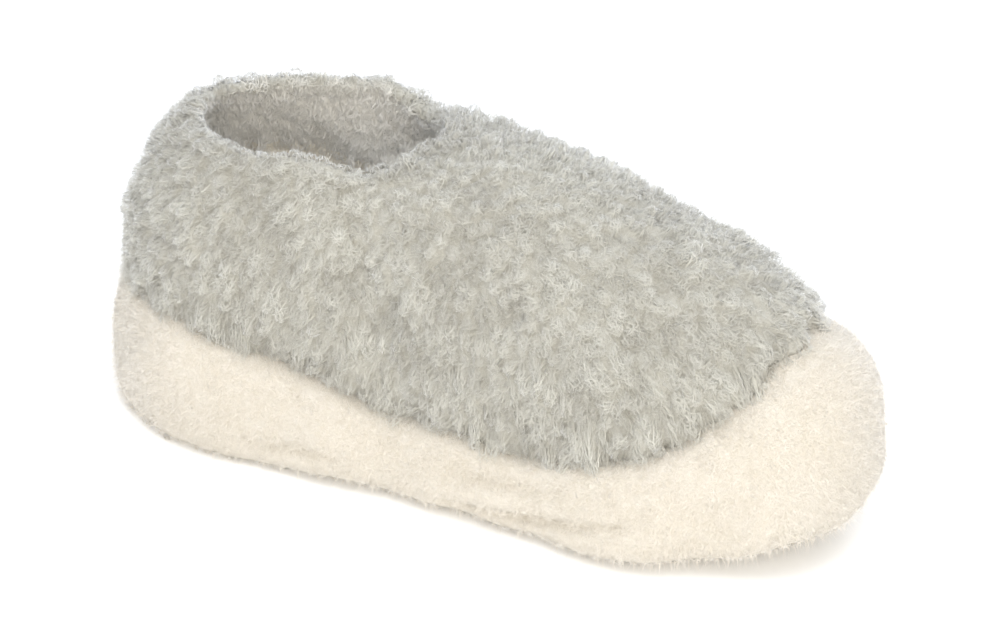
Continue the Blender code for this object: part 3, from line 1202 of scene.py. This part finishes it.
GREY_CUT = PileCut(
    spacing=3.3,
    half_breadth=2.3,
    height=2.9,
    fall=1.3,
    unruly=0.8,
    frizz=1.0,
    curl=2.2,
    loft=0.8,
    strands=36,
    strand_length=4.2,
    strand_breadth=0.15,
    wisps=3,
    wisp_length=4.6,
    wisp_breadth=0.1,
    wisp_rise=1.8,
    hairs=60,
    hair_length=6.0,
    hair_breadth=0.06,
)
CREAM_CUT = PileCut(
    spacing=2.7,
    half_breadth=2.0,
    height=0.5,
    fall=0.5,
    unruly=0.9,
    frizz=1.1,
    curl=2.0,
    loft=0.3,
    strands=20,
    strand_length=4.0,
    strand_breadth=0.11,
    wisps=2,
    wisp_length=4.6,
    wisp_breadth=0.09,
    wisp_rise=1.4,
    hairs=23,
    hair_length=5.0,
    hair_breadth=0.065,
)
FACING_CUT = PileCut(
    spacing=2.8,
    half_breadth=2.0,
    height=1.9,
    fall=0.9,
    unruly=0.8,
    frizz=1.0,
    curl=2.2,
    loft=0.6,
    strands=26,
    strand_length=3.8,
    strand_breadth=0.17,
    wisps=2,
    wisp_length=4.4,
    wisp_breadth=0.1,
    wisp_rise=1.4,
    hairs=20,
    hair_length=4.0,
    hair_breadth=0.06,
)
LINING_CUT = PileCut(
    spacing=3.4,
    half_breadth=2.4,
    height=1.5,
    fall=0.5,
    unruly=0.9,
    frizz=0.8,
    curl=1.5,
    loft=0.5,
    strands=10,
    strand_length=4.2,
    strand_breadth=0.4,
    wisps=1,
    wisp_length=4.0,
    wisp_breadth=0.2,
    wisp_rise=1.2,
    hairs=2,
    hair_length=2.5,
    hair_breadth=0.14,
)


@dataclass
class Upper:
    """Vamp and heel band of grey fleece, turned in at the collar and lined with cream fleece."""

    last: Last
    wardrobe: Wardrobe
    outside_rows: int = 66
    rim_rows: int = 11
    inside_rows: int = 36
    outside_crowding: float = 1.15  # more than 1 crowds the rings towards the seam
    inside_crowding: float = 1.1
    nap_turn: float = 3.0  # rings past the rim's edge over which the nap turns over
    rim_overlap: int = 3  # rings below the rim where its own pile starts
    cloth_change: int = 3  # rings past the middle of the fold where the paler cloth, painted light, starts
    rim_spacing: float = 2.1  # of the locks on the rim, where they part
    facing_depth: float = 28.0  # of the grey fleece turned in at the collar
    outside_pile: float = 2.8  # room for the pile
    inside_pile: float = 2.3
    rim_pile: float = 1.4
    rim_blend: float = 6.0  # rings beside the rim over which that room grows
    lump: float = 0.9
    facing_lump: float = 0.8
    softness: float = 0.7  # uneven filling of the fleece
    softness_size: float = 38.0
    skirt: float = 0.65  # how much longer the locks hang just above the seam
    skirt_size: float = 14.0  # of the lobes that they hang in
    skirt_reach: float = 0.2  # share of the way up where this has mostly gone
    lobe: float = 1.2  # swell of the hanging locks just above the seam
    lobe_size: float = 7.5
    seam_tuck: float = 1.6  # how far the fleece's foot is tucked down into the sole's pile
    clump: float = 0.85  # swell of the clumps that the locks gather in
    clump_size: float = 9.0
    patch: float = 0.3  # swell of the broader patches of thick and thin pile
    patch_size: float = 21.0
    side_swell: float = 3.0  # the most that the fleece swells or shrinks on the side
    facing_swell: float = 1.4  # the same inside
    rim_swell: float = 0.5  # the same at the collar, where the wall is thin
    thinning: tuple[float, float] = (0.55, 0.92)  # share of the way up between which that changes
    clump_hang: float = 0.45  # clumps are longer down the side by one over this
    seam_room: float = 0.45  # share of the room for the pile that is left at the seam
    seam_reach: float = 0.12  # share of the way up where that room is full

    def __post_init__(self) -> None:
        """Works out how the rings stand: up the outside, over the rim and down the inside."""
        self.rises = np.linspace(0, 1, self.outside_rows) ** self.outside_crowding
        self.falls = np.linspace(1, 0, self.inside_rows) ** self.inside_crowding
        self.rows = self.outside_rows + self.rim_rows + self.inside_rows
        self.past_rim = np.arange(self.rows) - (self.outside_rows + self.rim_rows // 2)

    def pile_room(self) -> Array:
        """How far the cloth lies under the surface of the pile.

        Returns:
            One depth for each ring.
        """
        room = np.where(self.past_rim <= 0, self.outside_pile, self.inside_pile)
        room[: self.outside_rows] *= np.interp(self.rises, (0, self.seam_reach), (self.seam_room, 1))
        from_rim = np.maximum(np.abs(self.past_rim) - self.rim_rows / 2, 0)
        near_rim = np.clip(1 - from_rim / self.rim_blend, 0, 1)
        return room * (1 - near_rim) + self.rim_pile * near_rim

    def uneven(self, points: Array) -> Array:
        """How far the fleece swells and shrinks, least at the collar, where the wall is thin.

        Args:
            points: by ring and column.

        Returns:
            The swell by ring and column.
        """
        hung = points * np.array([1.0, 1.0, self.clump_hang])
        low = np.zeros((self.rows, 1))
        low[: self.outside_rows, 0] = np.exp(-self.rises / self.skirt_reach)
        swell = self.softness * wander(points, self.softness_size, Draw.UPPER_FILLING) * (1 - low)
        swell += self.clump * wander(hung, self.clump_size, Draw.CLUMPS) * (1 - low)
        swell += self.patch * wander(hung, self.patch_size, Draw.PATCHES) * (1 - low)
        swell += self.lobe * wander(hung, self.lobe_size, Draw.LOBES) * low
        most = np.full((self.rows, 1), self.rim_swell)
        side = (self.side_swell, self.rim_swell)
        inside = (self.facing_swell, self.rim_swell)
        most[: self.outside_rows, 0] = np.interp(self.rises, self.thinning, side)
        most[-self.inside_rows :, 0] = np.interp(self.falls, self.thinning, inside)
        return most * np.tanh(swell / most)

    def skin(self) -> tuple[Skin, Array]:
        """The upper as one closed loop of rings.

        Returns:
            The skin, and for each ring whether it is lined with cream.
        """
        last = self.last
        outside, roll = last.upper_outside(self.rises), last.rim_roll(self.rim_rows)
        points = np.concatenate((outside, roll, last.upper_inside(self.falls)))
        points[0, :, 2] -= self.seam_tuck
        nap = np.clip(self.past_rim / (self.rim_rows / 2 + self.nap_turn), -1, 1)
        skin = Skin(points, nap)
        lobes = np.maximum(1 + wander(points[: self.outside_rows], self.skirt_size, Draw.SKIRT), 0)
        longer = self.skirt * np.exp(-self.rises / self.skirt_reach)[:, None] * lobes
        skin.combed[: self.outside_rows] *= 1 + longer[:, :, None]
        skin.sink(self.pile_room(), self.uneven(points))
        below_rim = last.rim[:, 2].mean() - points[:, :, 2].mean(axis=1)
        return skin, (self.past_rim > 0) & (below_rim > self.facing_depth)

    def build(self) -> list[bpy.types.Object]:
        """Builds and dresses the skin and its pile.

        Returns:
            The pieces.
        """
        skin, lined = self.skin()
        rows = np.arange(self.rows)
        first_lined = int(np.argmax(lined))
        first_rim = self.outside_rows - self.rim_overlap
        first_fold = self.outside_rows + self.rim_rows // 2 + 1
        first_facing = self.outside_rows + self.rim_rows + 1
        outside = Locks.sow(skin, slice(0, self.outside_rows), GREY_CUT.spacing, Draw.OUTSIDE_LOCKS)
        rim = Locks.sow(skin, slice(first_rim, first_fold + 1), self.rim_spacing, Draw.RIM_LOCKS)
        fold = Locks.sow(skin, slice(first_fold, first_facing + 1), self.rim_spacing, Draw.FOLD_LOCKS)
        facing_rows, lining_rows = slice(first_facing, first_lined + 1), slice(first_lined, self.rows)
        facing = Locks.sow(skin, facing_rows, FACING_CUT.spacing, Draw.FACING_LOCKS)
        lining = Locks.sow(skin, lining_rows, LINING_CUT.spacing, Draw.LINING_LOCKS)
        heights = np.where(rows < first_facing, self.lump, self.facing_lump)
        heights[[0, -1]] = 0
        skin.lump(Locks.gathered([outside, rim, fold, facing, lining]), heights)

        # The fold, the facing and the lining take paler wool as painted light inside the collar.
        pile = self.wardrobe.pile
        grey, mid = pile[Fleece.GREY], pile[Fleece.MID_GREY]
        pale, cream = pile[Fleece.PALE_GREY], pile[Fleece.PALE_CREAM]
        cloth = [self.wardrobe.cloth[f] for f in (Fleece.GREY, Fleece.PALE_GREY, Fleece.PALE_CREAM)]
        dress = (rows >= first_fold + self.cloth_change).astype(int) + lined
        seam_x = self.last.seam_heel_x + self.last.seam_length * self.last.side_seam_along
        front = outside.feet[:, 0] > seam_x
        pieces = [
            skin.write("upper_skin", True, cloth, dress),
            outside.part(front).comb("vamp_pile", GREY_CUT, grey, Draw.VAMP_STRANDS),
            outside.part(~front).comb("heel_band_pile", GREY_CUT, grey, Draw.HEEL_BAND_STRANDS),
            rim.comb("rim_pile", FACING_CUT, grey, Draw.RIM_STRANDS),
            fold.comb("fold_pile", FACING_CUT, mid, Draw.FOLD_STRANDS),
            facing.comb("facing_pile", FACING_CUT, pale, Draw.FACING_STRANDS),
            lining.comb("lining_pile", LINING_CUT, cream, Draw.LINING_STRANDS),
        ]
        return [place(piece, "upper", "upper_fleece") for piece in pieces]


CREASES = (
    Crease(-1, 0.28, 0.41, 0.27, 0.39, 3.0, 2.2),
    Crease(-1, 0.59, 0.73, 0.70, 0.76, 3.2, 2.0),
    Crease(-1, 0.58, 0.82, 0.22, 0.48, 2.8, 3.0),
    Crease(-1, 0.54, 0.68, 0.44, 0.52, 4.0, -1.2),
)


@dataclass
class Sole:
    """The cream fleece cup: tread, turned-up side, and the wall and floor inside."""

    last: Last
    wardrobe: Wardrobe
    tread_shares: tuple[float, ...] = (0.97, 0.85, 0.7, 0.55, 0.4, 0.28, 0.18, 0.1, 0.04)
    side_rows: int = 46
    cup_rows: int = 10
    cup_top: float = 0.75  # share of the cup's depth where its rings start below the lip
    floor_shares: tuple[float, ...] = (0.1, 0.3, 0.6, 0.97)
    side_pile: float = 1.5  # room for the pile
    tread_pile: float = 1.2
    inside_pile: float = 0.6  # hidden inside, where the insole and the lining lie
    seam_room: float = 0.3  # share of the room for the pile that is left at the seam
    seam_reach: float = 0.15  # share of the side below the seam where that room shrinks
    crease_ends: tuple[float, float] = (0.08, 0.92)  # shares of a crease between which it deepens
    crease_full: float = 20.0  # a crease of this length or more has its full depth
    lump: float = 0.1
    softness: float = 0.4
    softness_size: float = 30.0

    def crease_depth(self, rises: Array) -> Array:
        """How deep the hand-placed folds press the side in.

        Args:
            rises: shares of the side's height, one for each ring.

        Returns:
            Depths by ring and column.
        """
        last = self.last
        high = last.seam_z - last.floor_z
        depth = np.zeros((len(rises), last.columns))
        for crease in CREASES:
            length = (crease.end - crease.start) * last.seam_length
            share = np.clip((last.along - crease.start) / (crease.end - crease.start), 0, 1)
            line = crease.start_rise * (1 - share) + crease.end_rise * share
            beyond = np.maximum(crease.start - last.along, last.along - crease.end)
            beyond = np.maximum(beyond, 0) * last.seam_length
            off = np.hypot((rises[:, None] - line) * high, beyond)
            fade = np.sin(math.pi * np.clip(share, *self.crease_ends)) ** 0.5
            fade = fade * min(1.0, length / self.crease_full)
            trough = crease.depth * fade * np.exp(-((off / crease.breadth) ** 2))
            depth += trough * (last.side == crease.side)
        return depth

    def skin(self) -> Skin:
        """The sole as a stack of rings, from the middle of the tread to the middle of the cup's floor.

        Returns:
            The skin.
        """
        last = self.last
        rises = np.linspace(0, 1, self.side_rows)
        side = np.array([last.sole_side(rise) for rise in rises])
        tread = last.flat(side[0], self.tread_shares)
        lip = last.ring(-last.upper_wall, last.seam_z)[None]
        cup = np.array([last.cup_side(share) for share in np.linspace(self.cup_top, 0, self.cup_rows)])
        floor = last.flat(cup[-1], self.floor_shares)
        points = np.concatenate((tread, side, lip, cup, floor))
        rows = np.arange(len(points))
        first_side, after_side = len(tread), len(tread) + len(side)
        is_side = (rows >= first_side) & (rows < after_side)
        skin = Skin(points, np.where(is_side, -1.0, 0.0))
        room = np.where(rows < first_side, self.tread_pile, self.inside_pile)
        room = np.where(is_side, self.side_pile, room)
        room[first_side:after_side] *= np.interp(rises, (1 - self.seam_reach, 1), (1, self.seam_room))
        swell = self.softness * wander(points, self.softness_size, Draw.SOLE_FILLING) * is_side[:, None]
        # The creases also darken the locks in them, through the painted shade of the swell.
        swell[first_side:after_side] -= self.crease_depth(rises)
        skin.sink(room, swell)
        return skin

    def build(self) -> list[bpy.types.Object]:
        """Builds and dresses the skin and its pile.

        Returns:
            The pieces.
        """
        skin = self.skin()
        first_side = len(self.tread_shares)
        after_side = first_side + self.side_rows
        side = Locks.sow(skin, slice(first_side, after_side), CREAM_CUT.spacing, Draw.SIDE_LOCKS)
        tread = Locks.sow(skin, slice(0, first_side + 1), LINING_CUT.spacing, Draw.TREAD_LOCKS)
        heights = np.where(np.arange(len(skin.points)) < after_side, self.lump, 0.0)
        skin.lump(Locks.gathered([side, tread]), heights)
        pile = self.wardrobe.pile[Fleece.CREAM]
        dress = np.zeros(len(skin.points), int)
        pieces = [
            skin.write("sole_skin", False, [self.wardrobe.cloth[Fleece.CREAM]], dress),
            side.comb("sole_pile", CREAM_CUT, pile, Draw.SIDE_STRANDS),
            tread.comb("tread_pile", LINING_CUT, pile, Draw.TREAD_STRANDS),
        ]
        return [place(piece, "sole", "sole_fleece") for piece in pieces]


@dataclass
class Insole:
    """The cream fleece pad on the cup's floor."""

    last: Last
    wardrobe: Wardrobe
    thick: float = 7.0
    widest: float = 0.35  # share of its thickness where it is widest
    bottom_inset: float = 1.0  # rounding of its lower edge
    top_inset: float = 1.5  # rounding of its upper edge
    pile: float = 1.8  # room for the pile
    nap: float = 0.3  # how far the pile is trodden towards the middle
    lump: float = 0.9
    fill: float = 0.7  # a well-filled pad
    under_shares: tuple[float, ...] = (0.97, 0.5)
    top_shares: tuple[float, ...] = (0.04, 0.1, 0.18, 0.28, 0.4, 0.55, 0.7, 0.85, 0.97)

    def build(self) -> list[bpy.types.Object]:
        """Builds and dresses the pad and its pile.

        Returns:
            The pieces.
        """
        last = self.last
        under_z = last.floor_z + last.sole_floor + last.sewn_gap
        edge = last.sole_out((under_z - last.floor_z) / (last.seam_z - last.floor_z))
        edge = edge - last.sole_wall - last.cup_corner - last.sewn_gap
        bottom = last.ring(edge - self.bottom_inset, under_z)
        side = last.ring(edge, under_z + self.thick * self.widest)
        top = last.ring(edge - self.top_inset, under_z + self.thick)
        under, over = last.flat(bottom, self.under_shares), last.flat(top, self.top_shares)
        points = np.concatenate((under, np.stack((bottom, side, top)), over))
        rows = np.arange(len(points))
        first_top = len(under) + 2
        skin = Skin(points, np.where(rows >= first_top, self.nap, 0.0))
        skin.sink(np.where(rows >= first_top, self.pile, 0.0))
        locks = Locks.sow(skin, slice(first_top, len(points)), LINING_CUT.spacing, Draw.INSOLE_LOCKS)
        skin.lump(locks, np.where(rows > first_top, self.lump, 0.0))
        # The pad takes the paler cream as painted light inside the slipper.
        cloth = [self.wardrobe.cloth[Fleece.PALE_CREAM]]
        pad = skin.write("insole_pad", False, cloth, np.zeros(len(points), int))
        wool = self.wardrobe.pile[Fleece.PALE_CREAM]
        pile = locks.comb("insole_pile", LINING_CUT, wool, Draw.INSOLE_STRANDS)
        return [place(piece, "insole", "insole_fleece") for piece in (pad, pile)]


class Lamp(NamedTuple):
    """A broad square lamp that points at the slipper."""

    name: str
    place: tuple[float, float, float]
    size: float
    power: float  # watts
    colour: str


@dataclass
class Studio:
    """A pale paper floor, soft light from all round, and the camera."""

    azimuth: float = 24.6  # degrees that the camera stands from the inner side towards the toe
    elevation: float = 31.3
    distance: float = 1000.0
    aim: tuple[float, float, float] = (2.0, 0.0, 41.0)
    lens: float = 115.0
    floor_half: float = 4000.0
    sky_colour: str = "#F2F7FF"
    sky_strength: float = 0.61
    lamps: tuple[Lamp, ...] = (
        Lamp("front_lamp", (760.0, -1350.0, 840.0), 1200.0, 30.0, "#FFF7EB"),
        Lamp("back_lamp", (100.0, 1430.0, 950.0), 1200.0, 20.0, "#EAF1FF"),
        Lamp("top_lamp", (0.0, -450.0, 1600.0), 1000.0, 18.0, "#F2F7FF"),
    )

    def floor(self) -> None:
        """Lays the paper."""
        uv = np.array([(0, 0), (1, 0), (1, 1), (0, 1)], float)
        points = np.column_stack(((2 * uv - 1) * self.floor_half, np.zeros(len(uv))))
        paper = write_mesh("floor_paper", points, np.arange(4), np.array([4]), uv, {})
        paper.data.materials.append(PaperSweep().material())

    def light(self) -> None:
        """Sets an even sky and the lamps."""
        scene = bpy.context.scene
        scene.world = bpy.data.worlds.new("studio")
        scene.world.use_nodes = True
        sky = scene.world.node_tree.nodes["Background"].inputs
        sky["Color"].default_value = linear(self.sky_colour)
        sky["Strength"].default_value = self.sky_strength
        for lamp in self.lamps:
            light = bpy.data.lights.new(lamp.name, "AREA")
            light.size = lamp.size * MM
            light.energy = lamp.power
            light.color = linear(lamp.colour)[:3]
            hung = bpy.data.objects.new(lamp.name, light)
            hung.location = Vector(lamp.place) * MM
            beam = Vector(self.aim) * MM - hung.location
            hung.rotation_euler = beam.to_track_quat("-Z", "Y").to_euler()
            scene.collection.objects.link(hung)
        scene.view_settings.view_transform = "Standard"

    def camera(self) -> None:
        """Stands the camera at the photograph's angle to the slipper."""
        turn, rise = math.radians(self.azimuth), math.radians(self.elevation)
        back = Vector((math.sin(turn) * math.cos(rise), -math.cos(turn) * math.cos(rise), math.sin(rise)))
        data = bpy.data.cameras.new("camera")
        data.lens = self.lens
        camera = bpy.data.objects.new("camera", data)
        camera.location = (Vector(self.aim) + back * self.distance) * MM
        camera.rotation_euler = (-back).to_track_quat("-Z", "Y").to_euler()
        bpy.context.scene.collection.objects.link(camera)
        bpy.context.scene.camera = camera

    def build(self) -> None:
        """Sets up floor, light and camera."""
        self.floor()
        self.light()
        self.camera()


def main() -> None:
    """Builds the slipper's pieces in order, then the studio."""
    logging.basicConfig(level=logging.INFO, format="%(message)s")
    last = Last()
    wardrobe = Wardrobe()
    for part in (Sole(last, wardrobe), Upper(last, wardrobe), Insole(last, wardrobe)):
        part.build()
    Studio().build()


if __name__ == "__main__":
    main()
